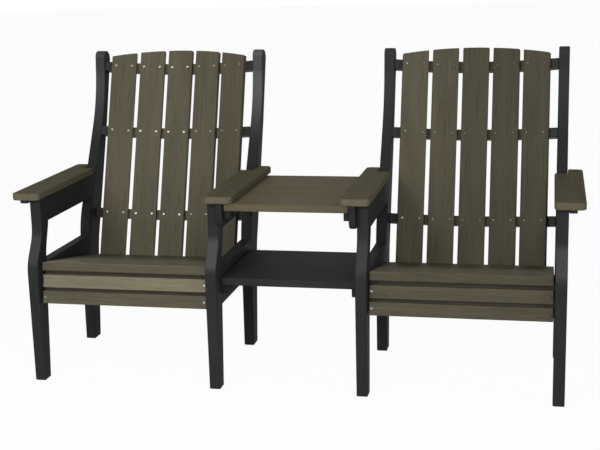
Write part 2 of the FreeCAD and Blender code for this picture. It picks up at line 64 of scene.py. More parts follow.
class GrainAxis(Enum):
    """The way a board's grain runs, and the axis that it follows, in the order of the axes."""

    ACROSS = "x"
    DEPTH = "y"
    HEIGHT = "z"


class Value:
    """A number socket that takes part in Python arithmetic."""

    def __init__(self, graph: "NodeGraph", socket: Socket) -> None:
        """Wraps an output socket of a graph."""
        self.graph = graph
        self.socket = socket

    def _maths(self, operation: str, *inputs: "Value | float", clamp: bool = False) -> "Value":
        """Adds a Math node.

        Args:
            operation: the Math node's operation.
            inputs: its inputs in order.
            clamp: whether the result stays from 0 to 1.

        Returns:
            The node's result.
        """
        settings = {"operation": operation, "use_clamp": clamp}
        node = self.graph.node("ShaderNodeMath", settings, dict(enumerate(inputs)))
        return Value(self.graph, node.outputs[0])

    def __add__(self, other: "Value | float") -> "Value":
        """Adds."""
        return self._maths("ADD", self, other)

    def __radd__(self, other: float) -> "Value":
        """Is added to a number."""
        return self._maths("ADD", other, self)

    def __sub__(self, other: "Value | float") -> "Value":
        """Subtracts."""
        return self._maths("SUBTRACT", self, other)

    def __rsub__(self, other: float) -> "Value":
        """Is taken from a number."""
        return self._maths("SUBTRACT", other, self)

    def __mul__(self, other: "Value | float") -> "Value":
        """Multiplies."""
        return self._maths("MULTIPLY", self, other)

    def __rmul__(self, other: float) -> "Value":
        """Is multiplied with a number."""
        return self._maths("MULTIPLY", other, self)

    def __neg__(self) -> "Value":
        """The value with the other sign."""
        return self._maths("SUBTRACT", 0.0, self)

    def __abs__(self) -> "Value":
        """The distance from 0."""
        return self._maths("ABSOLUTE", self)

    def clamped(self) -> "Value":
        """The value kept from 0 to 1."""
        return self._maths("ADD", self, 0.0, clamp=True)

    def fade(self, low: float, high: float) -> "Value":
        """Goes smoothly from 0 at low to 1 at high.

        Args:
            low: where the result is 0.
            high: where the result is 1.

        Returns:
            The smoothed value.
        """
        settings = {"interpolation_type": "SMOOTHSTEP"}
        inputs = {"Value": self, "From Min": low, "From Max": high}
        node = self.graph.node("ShaderNodeMapRange", settings, inputs)
        return Value(self.graph, node.outputs["Result"])


Layers = dict[str, Value]


@dataclass(frozen=True)
class Noise:
    """A layer of noise: how fine it is, its number of finer layers, their strength, and its swirl."""

    scale: float
    detail: float = 2.0
    rough: float = 0.5
    swirl: float = 0.0


@dataclass(frozen=True)
class Cover:
    """How something shows: from which level, from which level fully, and how strongly then."""

    start: float
    full: float
    strength: float = 1.0

    def of(self, value: Value) -> Value:
        """Where a value shows, from 0 to the strength."""
        return value.fade(self.start, self.full) * self.strength


@dataclass(frozen=True)
class Relief:
    """How deep a surface's relief is, in metres, and how strongly it shows."""

    depth: float
    strength: float


class NodeGraph:
    """A node tree, built by calls."""

    def __init__(self, tree: bpy.types.NodeTree) -> None:
        """Takes over a tree and empties it."""
        self.tree = tree
        self.tree.nodes.clear()

    def node(self, kind: str, settings: dict | None = None, inputs: dict | None = None) -> bpy.types.Node:
        """Adds a node.

        Args:
            kind: the node's type.
            settings: its properties, which are set first.
            inputs: values, Values or sockets by input name or index.

        Returns:
            The node.
        """
        node = self.tree.nodes.new(kind)
        for name, value in (settings or {}).items():
            setattr(node, name, value)
        for name, value in (inputs or {}).items():
            self.feed(node.inputs[name], value)
        return node

    def feed(self, target: Socket, value: Value | Socket | float | tuple) -> None:
        """Links or sets an input.

        Args:
            target: the input.
            value: a Value or a socket to link, or a number, colour or vector to set.
        """
        source = value.socket if isinstance(value, Value) else value
        if isinstance(source, Socket):
            self.tree.links.new(source, target)
        else:
            target.default_value = source

    def mix_shaders(self, factor: Value, first: Socket, second: Socket) -> Socket:
        """Mixes two shaders by the share of the second."""
        inputs = dict(enumerate((factor, first, second)))
        return self.node("ShaderNodeMixShader", None, inputs).outputs[0]

    def backdrop_rays(self) -> Value:
        """Finds the rays that show the backdrop: the camera's, and those of gloss and glass.

        Returns:
            1 for those rays and 0 for the others.
        """
        path = self.node("ShaderNodeLightPath")
        kinds = ("Is Camera Ray", "Is Glossy Ray", "Is Transmission Ray")
        camera, glossy, through = (Value(self, path.outputs[kind]) for kind in kinds)
        return (camera + glossy + through).clamped()


class ShaderGraph(NodeGraph):
    """A material's node tree around one shader."""

    def __init__(self, name: str) -> None:
        """Makes a material with an output and one shader.

        Args:
            name: the material's name.
        """
        self.material = bpy.data.materials.new(name)
        self.material.use_nodes = True
        super().__init__(self.material.node_tree)
        self.output = self.node("ShaderNodeOutputMaterial")
        self.shader = self.node("ShaderNodeBsdfPrincipled")
        self.feed(self.output.inputs["Surface"], self.shader.outputs["BSDF"])

    def set(self, name: str, value: Value | Socket | float | tuple) -> None:
        """Sets or links one of the shader's inputs."""
        self.feed(self.shader.inputs[name], value)

    def noise(self, place: Socket, layer: Noise) -> Value:
        """Adds a layer of noise.

        Args:
            place: where it is read.
            layer: what it is like.

        Returns:
            The noise, from 0 to 1.
        """
        inputs = {
            "Vector": place,
            "Scale": layer.scale,
            "Detail": layer.detail,
            "Roughness": layer.rough,
            "Distortion": layer.swirl,
        }
        return Value(self, self.node("ShaderNodeTexNoise", None, inputs).outputs["Fac"])

    def mix(
        self, factor: Value | float, first: tuple | Socket, second: tuple | Socket, blend: str = "MIX"
    ) -> Socket:
        """Mixes two colours.

        Args:
            factor: the share of the second.
            first: a colour or a colour socket.
            second: a colour or a colour socket.
            blend: the Mix node's blend type.

        Returns:
            The colour socket.
        """
        settings = {"data_type": "RGBA", "blend_type": blend}
        inputs = {MIX_FACTOR: factor, MIX_FIRST: first, MIX_SECOND: second}
        return self.node("ShaderNodeMix", settings, inputs).outputs[MIX_RESULT]

    def part(self, kind: str, axis: str) -> Value:
        """Takes one part of a texture coordinate.

        Args:
            kind: the coordinate, Object or Normal.
            axis: its part, X, Y or Z.

        Returns:
            The part.
        """
        vector = self.node("ShaderNodeTexCoord").outputs[kind]
        return Value(self, self.node("ShaderNodeSeparateXYZ", None, {"Vector": vector}).outputs[axis])

    def bump(self, height: Value, relief: Relief) -> None:
        """Raises the surface by a height.

        Args:
            height: the height, as a share of the relief's depth.
            relief: how deep the relief is and how strongly it shows.
        """
        inputs = {"Height": height, "Distance": relief.depth, "Strength": relief.strength}
        self.set("Normal", self.node("ShaderNodeBump", None, inputs).outputs["Normal"])

    def along(self, axis: GrainAxis, stretch: float, shift: Place, tilt: Place = (0.0, 0.0, 0.0)) -> Socket:
        """Draws Object coordinates out along the grain.

        Args:
            axis: the way the grain runs.
            stretch: how much longer than wide the pattern is.
            shift: where on the pattern this board lies.
            tilt: the board's own lean, in radians, taken out before the stretch.

        Returns:
            The coordinates.
        """
        place = self.node("ShaderNodeTexCoord").outputs["Object"]
        settings = {"vector_type": "POINT"}
        upright = self.node("ShaderNodeMapping", settings, {"Vector": place, "Rotation": tilt})
        scale = tuple(1.0 / stretch if way is axis else 1.0 for way in GrainAxis)
        inputs = {"Vector": upright.outputs["Vector"], "Location": shift, "Scale": scale}
        return self.node("ShaderNodeMapping", settings, inputs).outputs["Vector"]


def opaque(colour: Colour) -> tuple[float, float, float, float]:
    """A colour with full alpha."""
    return (*colour, 1.0)


def grey(level: float) -> tuple[float, float, float, float]:
    """A grey with full alpha."""
    return opaque((level, level, level))


WHITE = grey(1.0)


@dataclass(frozen=True)
class BoardLook:
    """How one board lies, how pale, glossy and warm it is, and how much painted top light it has.

    The painted top light makes top faces paler, standing in for light from above. It lies only ahead of
    painted_top_light_end, a place on the Y axis; the tops behind it stay darker, a painted shade. The
    polish says how much smoother a glossy board is than a dull one.
    """

    grain: GrainAxis
    tone: float
    gloss: float
    tilt: Place = (0.0, 0.0, 0.0)
    warmth: float = 0.0
    painted_top_light: float = 0.0
    painted_top_light_end: float = BEHIND_BENCH
    polish: float = 0.3

    def shade(self, colour: Colour) -> tuple[float, float, float, float]:
        """A colour of the finish as this board has it.

        Args:
            colour: the finish's colour.

        Returns:
            The colour at the board's tone and warmth, with full alpha.
        """
        tint = (1.0 + self.warmth, 1.0, 1.0 - self.warmth)
        red, green, blue = (channel * self.tone * share for channel, share in zip(colour, tint))
        return opaque((red, green, blue))

    def roughness(self, usual: float) -> float:
        """The roughness that goes with the board's gloss, from the finish's usual one."""
        return min(1.0, usual * self.gloss ** -self.polish)


@dataclass(frozen=True, kw_only=True)
class Lumber(ABC):
    """Plastic lumber. Each kind says how its layers of noise colour the surface and raise it."""

    roughness: float
    specular: float
    relief: Relief
    board_step: Place

    def material(self, name: str, look: BoardLook, board: int) -> bpy.types.Material:
        """Makes one board's material.

        Args:
            name: the material's name.
            look: how the board lies and what it looks like.
            board: the board's number, which moves it to its own place on the pattern.

        Returns:
            The material.
        """
        graph = ShaderGraph(name)
        x, y, z = (board * step for step in self.board_step)
        layers = self.layers(graph, look, (x, y, z))
        graph.set("Base Color", self.colour(graph, look, layers))
        graph.set("Roughness", (self.unevenness(layers) + look.roughness(self.roughness)).clamped())
        graph.set("Specular IOR Level", self.specular * look.gloss)
        graph.bump(self.height(layers), self.relief)
        return graph.material

    @abstractmethod
    def layers(self, graph: ShaderGraph, look: BoardLook, shift: Place) -> Layers:
        """Adds the layers of noise.

        Args:
            graph: the material's graph.
            look: how the board lies and what it looks like.
            shift: where on the pattern the board lies.

        Returns:
            The layers by name.
        """

    @abstractmethod
    def colour(self, graph: ShaderGraph, look: BoardLook, layers: Layers) -> Socket:
        """Colours the surface.

        Args:
            graph: the material's graph.
            look: how the board lies and what it looks like.
            layers: the layers of noise.

        Returns:
            The colour socket.
        """

    @abstractmethod
    def unevenness(self, layers: Layers) -> Value:
        """How much rougher than usual the surface is, from the layers of noise."""

    @abstractmethod
    def height(self, layers: Layers) -> Value:
        """How high the surface stands, from the layers of noise."""


@dataclass(frozen=True, kw_only=True)
class WeatheredLumber(Lumber):
    """Brown-grey plastic lumber embossed with a wood grain, with painted top light that makes top faces
    paler.
    """

    base: Colour = (0.100, 0.090, 0.060)
    dark: Colour = (0.066, 0.058, 0.038)
    pale: Colour = (0.152, 0.135, 0.090)
    groove: Colour = (0.031, 0.026, 0.017)
    roughness: float = 0.62
    specular: float = 0.05
    relief: Relief = Relief(0.0011, 0.6)
    board_step: Place = (0.731, 0.417, 0.293)

    # The layers, and how far they are drawn out along the grain.
    grain_stretch: float = 30.0
    figure_stretch: float = 10.0
    cloud_stretch: float = 2.5
    figure: Noise = Noise(14.0, 3.0, 0.5, 1.2)
    streaks: Noise = Noise(130.0, 4.0, 0.62, 0.3)
    fibres: Noise = Noise(520.0, 2.0, 0.6)
    pores: Noise = Noise(300.0, 1.0, 0.4)
    clouds: Noise = Noise(3.5)

    # Where the layers and the painted top light show.
    dark_figure: Cover = Cover(0.34, 0.66, 0.40)
    pale_streaks: Cover = Cover(0.50, 0.78, 0.60)
    dark_streaks: Cover = Cover(0.55, 0.80, 0.55)
    grooved_pores: Cover = Cover(0.63, 0.74, 0.55)
    pale_clouds: Cover = Cover(0.35, 0.75, 0.18)
    sunk_pores: Cover = Cover(0.60, 0.74, 0.35)
    facing_up: Cover = Cover(0.3, 0.9)
    painted_top_light_fade: float = 0.14

    # How much the layers roughen and raise the surface.
    rough_streaks: float = 0.25
    rough_clouds: float = 0.1
    raised_figure: float = 0.25
    raised_streaks: float = 0.45
    raised_fibres: float = 0.20

    def layers(self, graph: ShaderGraph, look: BoardLook, shift: Place) -> Layers:
        """Adds the wide figure, the grain's streaks, fibres and pores, and clouds over all.

        Args:
            graph: the material's graph.
            look: how the board lies and what it looks like.
            shift: where on the pattern the board lies.

        Returns:
            The layers by name.
        """
        grain = graph.along(look.grain, self.grain_stretch, shift, look.tilt)
        wide_grain = graph.along(look.grain, self.figure_stretch, shift, look.tilt)
        loose_grain = graph.along(look.grain, self.cloud_stretch, shift)
        return {
            "figure": graph.noise(wide_grain, self.figure),
            "streaks": graph.noise(grain, self.streaks),
            "fibres": graph.noise(grain, self.fibres),
            "pores": graph.noise(grain, self.pores),
            "clouds": graph.noise(loose_grain, self.clouds),
        }

    def colour(self, graph: ShaderGraph, look: BoardLook, layers: Layers) -> Socket:
        """Colours the grain.

        Args:
            graph: the material's graph.
            look: how the board lies and what it looks like.
            layers: the layers of noise.

        Returns:
            The colour socket.
        """
        colour, dark, pale, groove = map(look.shade, (self.base, self.dark, self.pale, self.groove))
        paints = (
            (self.dark_figure.of(layers["figure"]), dark),
            (self.pale_streaks.of(layers["streaks"]), pale),
            (self.dark_streaks.of(1.0 - layers["streaks"]), dark),
            (self.grooved_pores.of(layers["pores"]), groove),
            (self.pale_clouds.of(layers["clouds"]), pale),
        )
        for share, paint in paints:
            colour = graph.mix(share, colour, paint)
        return self._with_painted_top_light(graph, look, colour) if look.painted_top_light else colour

    def _with_painted_top_light(self, graph: ShaderGraph, look: BoardLook, colour: Socket) -> Socket:
        """Paints top light: makes the top faces paler, standing in for light from above.

        Args:
            graph: the material's graph.
            look: the board's look, with how much painted top light it has and how far back.
            colour: the colour without the painted top light.

        Returns:
            The colour socket.
        """
        # Painted top light: tops ahead of the end are painted paler, standing in for light from above.
        top = self.facing_up.of(graph.part("Normal", "Z"))
        behind = graph.part("Object", "Y").fade(look.painted_top_light_end - self.painted_top_light_fade, look.painted_top_light_end)
        top_lit = graph.mix(1.0, colour, grey(1.0 + look.painted_top_light), "MULTIPLY")
        return graph.mix(top * (1.0 - behind), colour, top_lit)

    def unevenness(self, layers: Layers) -> Value:
        """How much rougher than usual the surface is, from the layers of noise."""
        streaks = (layers["streaks"] - NOISE_MIDDLE) * self.rough_streaks
        return streaks + (layers["clouds"] - NOISE_MIDDLE) * self.rough_clouds

    def height(self, layers: Layers) -> Value:
        """How high the surface stands, from the layers of noise."""
        figured = layers["figure"] * self.raised_figure + layers["streaks"] * self.raised_streaks
        return figured + layers["fibres"] * self.raised_fibres - self.sunk_pores.of(layers["pores"])


@dataclass(frozen=True, kw_only=True)
class BlackLumber(Lumber):
    """Black plastic lumber with a fine brushed grain."""

    base: Colour = (0.0200, 0.0202, 0.0205)
    worn: Colour = (0.036, 0.036, 0.035)
    roughness: float = 0.48
    specular: float = 0.10
    relief: Relief = Relief(0.0006, 0.4)
    board_step: Place = (0.613, 0.377, 0.251)

    # The layers, and how far they are drawn out along the grain.
    grain_stretch: float = 18.0
    scuff_stretch: float = 5.0
    cloud_stretch: float = 2.0
    streaks: Noise = Noise(150.0, 3.0, 0.6)
    scuffs: Noise = Noise(60.0, 2.0, 0.5, 0.6)
    clouds: Noise = Noise(5.0)

    # Where the layers show.
    worn_streaks: Cover = Cover(0.45, 0.85, 0.5)
    worn_clouds: Cover = Cover(0.45, 0.85, 0.3)
    worn_scuffs: Cover = Cover(0.66, 0.78, 0.35)

    # How much the layers roughen and raise the surface.
    rough_streaks: float = 0.16
    rough_clouds: float = 0.16
    raised_streaks: float = 0.6
    raised_scuffs: float = 0.2
    raised_clouds: float = 0.2

    def layers(self, graph: ShaderGraph, look: BoardLook, shift: Place) -> Layers:
        """Adds the grain's streaks, scuffs and clouds.

        Args:
            graph: the material's graph.
            look: how the board lies and what it looks like.
            shift: where on the pattern the board lies.

        Returns:
            The layers by name.
        """
        grain = graph.along(look.grain, self.grain_stretch, shift, look.tilt)
        scuffed_grain = graph.along(look.grain, self.scuff_stretch, shift, look.tilt)
        loose_grain = graph.along(look.grain, self.cloud_stretch, shift)
        return {
            "streaks": graph.noise(grain, self.streaks),
            "scuffs": graph.noise(scuffed_grain, self.scuffs),
            "clouds": graph.noise(loose_grain, self.clouds),
        }

    def colour(self, graph: ShaderGraph, look: BoardLook, layers: Layers) -> Socket:
        """Colours the board, worn paler along the streaks, in clouds and at the scuffs.

        Args:
            graph: the material's graph.
            look: how the board lies and what it looks like.
            layers: the layers of noise.

        Returns:
            The colour socket.
        """
        colour = look.shade(self.base)
        worn = look.shade(self.worn)
        covers = {"streaks": self.worn_streaks, "clouds": self.worn_clouds, "scuffs": self.worn_scuffs}
        for layer, cover in covers.items():
            colour = graph.mix(cover.of(layers[layer]), colour, worn)
        return colour

    def unevenness(self, layers: Layers) -> Value:
        """How much rougher than usual the surface is, from the layers of noise."""
        clouds = (layers["clouds"] - NOISE_MIDDLE) * self.rough_clouds
        return clouds + (layers["streaks"] - NOISE_MIDDLE) * self.rough_streaks

    def height(self, layers: Layers) -> Value:
        """How high the surface stands, from the layers of noise."""
        scuffed = layers["streaks"] * self.raised_streaks + layers["scuffs"] * self.raised_scuffs
        return scuffed + layers["clouds"] * self.raised_clouds


@dataclass(frozen=True, kw_only=True)
class RailLumber(BlackLumber):
    """Black lumber with brown light painted on its front face, where the slats lie against it.

    The painted light stands in for light that the brown slats bounce into the shaded gaps between them.
    It reaches half_width to each side of the middle, and it fades out along the last edge.
    """

    bounce_light: Colour
    middle: float
    half_width: float = 0.262
    edge: float = 0.012
    facing_front: Cover = Cover(0.3, 0.8)

    def colour(self, graph: ShaderGraph, look: BoardLook, layers: Layers) -> Socket:
        """Paints the bounce light between the back's two side edges.

        Args:
            graph: the material's graph.
            look: how the board lies and what it looks like.
            layers: the layers of noise.

        Returns:
            The colour socket.
        """
        without_bounce_light = super().colour(graph, look, layers)
        off_middle = abs(graph.part("Object", "X") - self.middle)
        beyond = off_middle.fade(self.half_width - self.edge, self.half_width)
        front = self.facing_front.of(-graph.part("Normal", "Y"))
        # Painted bounce light: brown light painted on the front face between the slats.
        return graph.mix((1.0 - beyond) * front, without_bounce_light, opaque(self.bounce_light))


@dataclass(frozen=True, kw_only=True)
class LegLumber(BlackLumber):
    """Black lumber with a painted highlight, a grey sheen where it leans back, as on the front legs'
    curves.
    """

    sheen: float
    leaning: Cover = Cover(0.15, 0.45)
    above: Cover = Cover(0.0, 0.1)

    def colour(self, graph: ShaderGraph, look: BoardLook, layers: Layers) -> Socket:
        """Paints the sheen, a highlight, into the colour.

        Args:
            graph: the material's graph.
            look: how the board lies and what it looks like.
            layers: the layers of noise.

        Returns:
            The colour socket.
        """
        plain = super().colour(graph, look, layers)
        leaning = self.leaning.of(graph.part("Normal", "Z"))
        above = self.above.of(graph.part("Object", "Z"))
        # Painted highlight: a lamp's sheen painted into the colour where the board leans back.
        return graph.mix(leaning * above, plain, grey(self.sheen))


@dataclass(frozen=True, kw_only=True)
class PostLumber(LegLumber):
    """Leg lumber with the painted sheen above the arms, where the posts lean back a little."""

    leaning: Cover = Cover(0.02, 0.15)
    above: Cover = Cover(0.68, 0.92)


@dataclass(frozen=True)
class ScrewSteel:
    """Weathered stainless steel with turning marks and dull patches, and painted shade to the right."""

    base: Colour = (0.19, 0.19, 0.18)
    dull: Colour = (0.09, 0.09, 0.08)
    painted_shade: Colour = (0.040, 0.040, 0.037)
    roughness: float = 0.34
    relief: Relief = Relief(0.00008, 0.5)
    patches: Noise = Noise(260.0, 3.0)
    marks: Noise = Noise(1900.0)
    dull_patches: Cover = Cover(0.42, 0.70)
    painted_shade_reach: Cover = Cover(0.0, 0.58)
    rough_patches: float = 0.3
    rough_marks: float = 0.1
    raised_patches: float = 0.5
    raised_marks: float = 0.5

    def material(self, name: str) -> bpy.types.Material:
        """Makes the screws' material.

        Args:
            name: the material's name.

        Returns:
            The material.
        """
        graph = ShaderGraph(name)
        place = graph.node("ShaderNodeTexCoord").outputs["Object"]
        patches = graph.noise(place, self.patches)
        marks = graph.noise(place, self.marks)
        colour = graph.mix(self.dull_patches.of(patches), opaque(self.base), opaque(self.dull))
        # Painted shade: darker to the right, standing in for the lamp's reflection fading there.
        painted_shade_reach = self.painted_shade_reach.of(graph.part("Object", "X"))
        graph.set("Base Color", graph.mix(painted_shade_reach, colour, opaque(self.painted_shade)))
        graph.set("Metallic", 1.0)
        patchy = self.roughness + (patches - NOISE_MIDDLE) * self.rough_patches
        graph.set("Roughness", (patchy + (marks - NOISE_MIDDLE) * self.rough_marks).clamped())
        graph.bump(patches * self.raised_patches + marks * self.raised_marks, self.relief)
        return graph.material


@dataclass
class Dresser:
    """Gives the boards their finishes and keeps count of them."""

    lumber: Lumber = WeatheredLumber()
    black: Lumber = BlackLumber()
    boards: int = 0
    finished: set[str] = field(default_factory=set)

    def dress(self, node: str, finish: Lumber, look: BoardLook) -> None:
        """Gives a board its own material.

        Args:
            node: the board's node.
            finish: its finish.
            look: how the board lies and what it looks like.
        """
        self.boards += 1
        material = finish.material(f"{node}_finish", look, self.boards)
        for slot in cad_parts[node].material_slots:
            slot.material = material
        self.finished.add(node)
        LOG.info("%s: %s", node, material.name)


@dataclass(frozen=True)
class SideTones:
    """How pale one side frame's arm is, and how strong the painted sheen on its front leg and its post is.
    """

    arm: float
    leg_sheen: float
    post_sheen: float


@dataclass
class Chair:
    """One chair's boards, with the tone of each and the leans that their grain follows."""

    side: str
    outer: SideTones
    inner: SideTones
    slats: tuple[float, ...]
    seat: float
    upper_fascia: float
    lower_fascia: float
    rail_bounce_light: Colour

    # What both chairs share.
    recline: float = math.radians(19.4)
    seat_slope: float = math.radians(10.6)
    # Painted top light on the seat: tops paler ahead of the end, the rear darker as painted shade.
    seat_painted_top_light: float = 0.9
    seat_painted_top_light_end: float = -0.06
    arm_gloss: float = 0.5
    slat_gloss: float = 1.6
    seat_gloss: float = 1.4
    upright: BoardLook = BoardLook(GrainAxis.HEIGHT, 1.05, 0.4)
    level: BoardLook = BoardLook(GrainAxis.DEPTH, 1.1, 0.4)
    carrier: BoardLook = BoardLook(GrainAxis.DEPTH, 3.2, 0.4, warmth=0.2)
    rail: BoardLook = BoardLook(GrainAxis.ACROSS, 1.3, 0.8)

    def dress(self, dresser: Dresser) -> None:
        """Gives every board of the chair its finish.

        Args:
            dresser: who does it.
        """
        self._dress_side_frame(dresser, "outer", self.outer)
        self._dress_side_frame(dresser, "inner", self.inner)
        dresser.dress(f"outer_arm_cleat_{self.side}", dresser.black, self.level)
        self._dress_back(dresser)
        self._dress_seat(dresser)

    def _dress_side_frame(self, dresser: Dresser, which: str, tones: SideTones) -> None:
        """Gives a side frame and its arm their finish.

        Args:
            dresser: who does it.
            which: the frame, outer or inner.
            tones: how pale its boards are.
        """
        boards = {
            "front_leg": (LegLumber(sheen=tones.leg_sheen), self.upright),
            "back_leg": (PostLumber(sheen=tones.post_sheen), self.upright),
            "seat_side_rail": (dresser.black, self.level),
            "under_arm_rail": (dresser.black, self.level),
            "seat_stringer": (dresser.black, self.carrier),
            "armrest": (dresser.lumber, BoardLook(GrainAxis.DEPTH, tones.arm, self.arm_gloss)),
        }
        for board, (finish, look) in boards.items():
            dresser.dress(f"{board}_{self.side}_{which}", finish, look)

    def _dress_back(self, dresser: Dresser) -> None:
        """Gives the back's rails and slats their finish.

        Args:
            dresser: who does it.
        """
        bounce_lit = RailLumber(bounce_light=self.rail_bounce_light, middle=self._middle())
        for row in RAIL_ROWS:
            dresser.dress(f"back_rail_{self.side}_{row}", bounce_lit, self.rail)
        for number, tone in enumerate(self.slats, 1):
            look = BoardLook(GrainAxis.HEIGHT, tone, self.slat_gloss, (self.recline, 0.0, 0.0))
            dresser.dress(f"back_slat_{self.side}_{number}", dresser.lumber, look)

    def _dress_seat(self, dresser: Dresser) -> None:
        """Gives the seat, the fascia and the apron their finish.

        Args:
            dresser: who does it.
        """
        tilt = (-self.seat_slope, 0.0, 0.0)
        seat_without_top_light = BoardLook(GrainAxis.ACROSS, self.seat, self.seat_gloss, tilt)
        seat = replace(seat_without_top_light, painted_top_light=self.seat_painted_top_light, painted_top_light_end=self.seat_painted_top_light_end)
        looks = {
            f"seat_slats_{self.side}": seat,
            f"fascia_slat_{self.side}_upper": replace(seat_without_top_light, tone=self.upper_fascia),
            f"fascia_slat_{self.side}_lower": replace(seat_without_top_light, tone=self.lower_fascia),
        }
        for node, look in looks.items():
            dresser.dress(node, dresser.lumber, look)
        apron = replace(self.carrier, grain=GrainAxis.ACROSS, tilt=tilt)
        dresser.dress(f"seat_apron_{self.side}", dresser.black, apron)

    def _middle(self) -> float:
        """Finds the chair's middle.

        Returns:
            The middle of its top back rail on the X axis.
        """
        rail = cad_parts[f"back_rail_{self.side}_top"]
        places = [vertex.co.x for vertex in rail.data.vertices]
        return (min(places) + max(places)) / 2


@dataclass
class Table:
    """The table, the shelf and what carries them, with their boards' looks."""

    # The table top has painted top light: its top face is painted paler, for light from above.
    top: BoardLook = BoardLook(GrainAxis.ACROSS, 0.89, 0.9, warmth=0.07, painted_top_light=0.3)
    shelf: BoardLook = BoardLook(GrainAxis.ACROSS, 1.15, 0.4)
    carrier: BoardLook = BoardLook(GrainAxis.DEPTH, 1.0, 0.25)

    def dress(self, dresser: Dresser) -> None:
        """Gives every board its finish.

        Args:
            dresser: who does it.
        """
        dresser.dress("table_top", dresser.lumber, self.top)
        dresser.dress("shelf", dresser.black, self.shelf)
        for side in SIDES:
            for kind in ("table_support", "table_cleat", "shelf_cleat"):
                dresser.dress(f"{kind}_{side}", dresser.black, self.carrier)


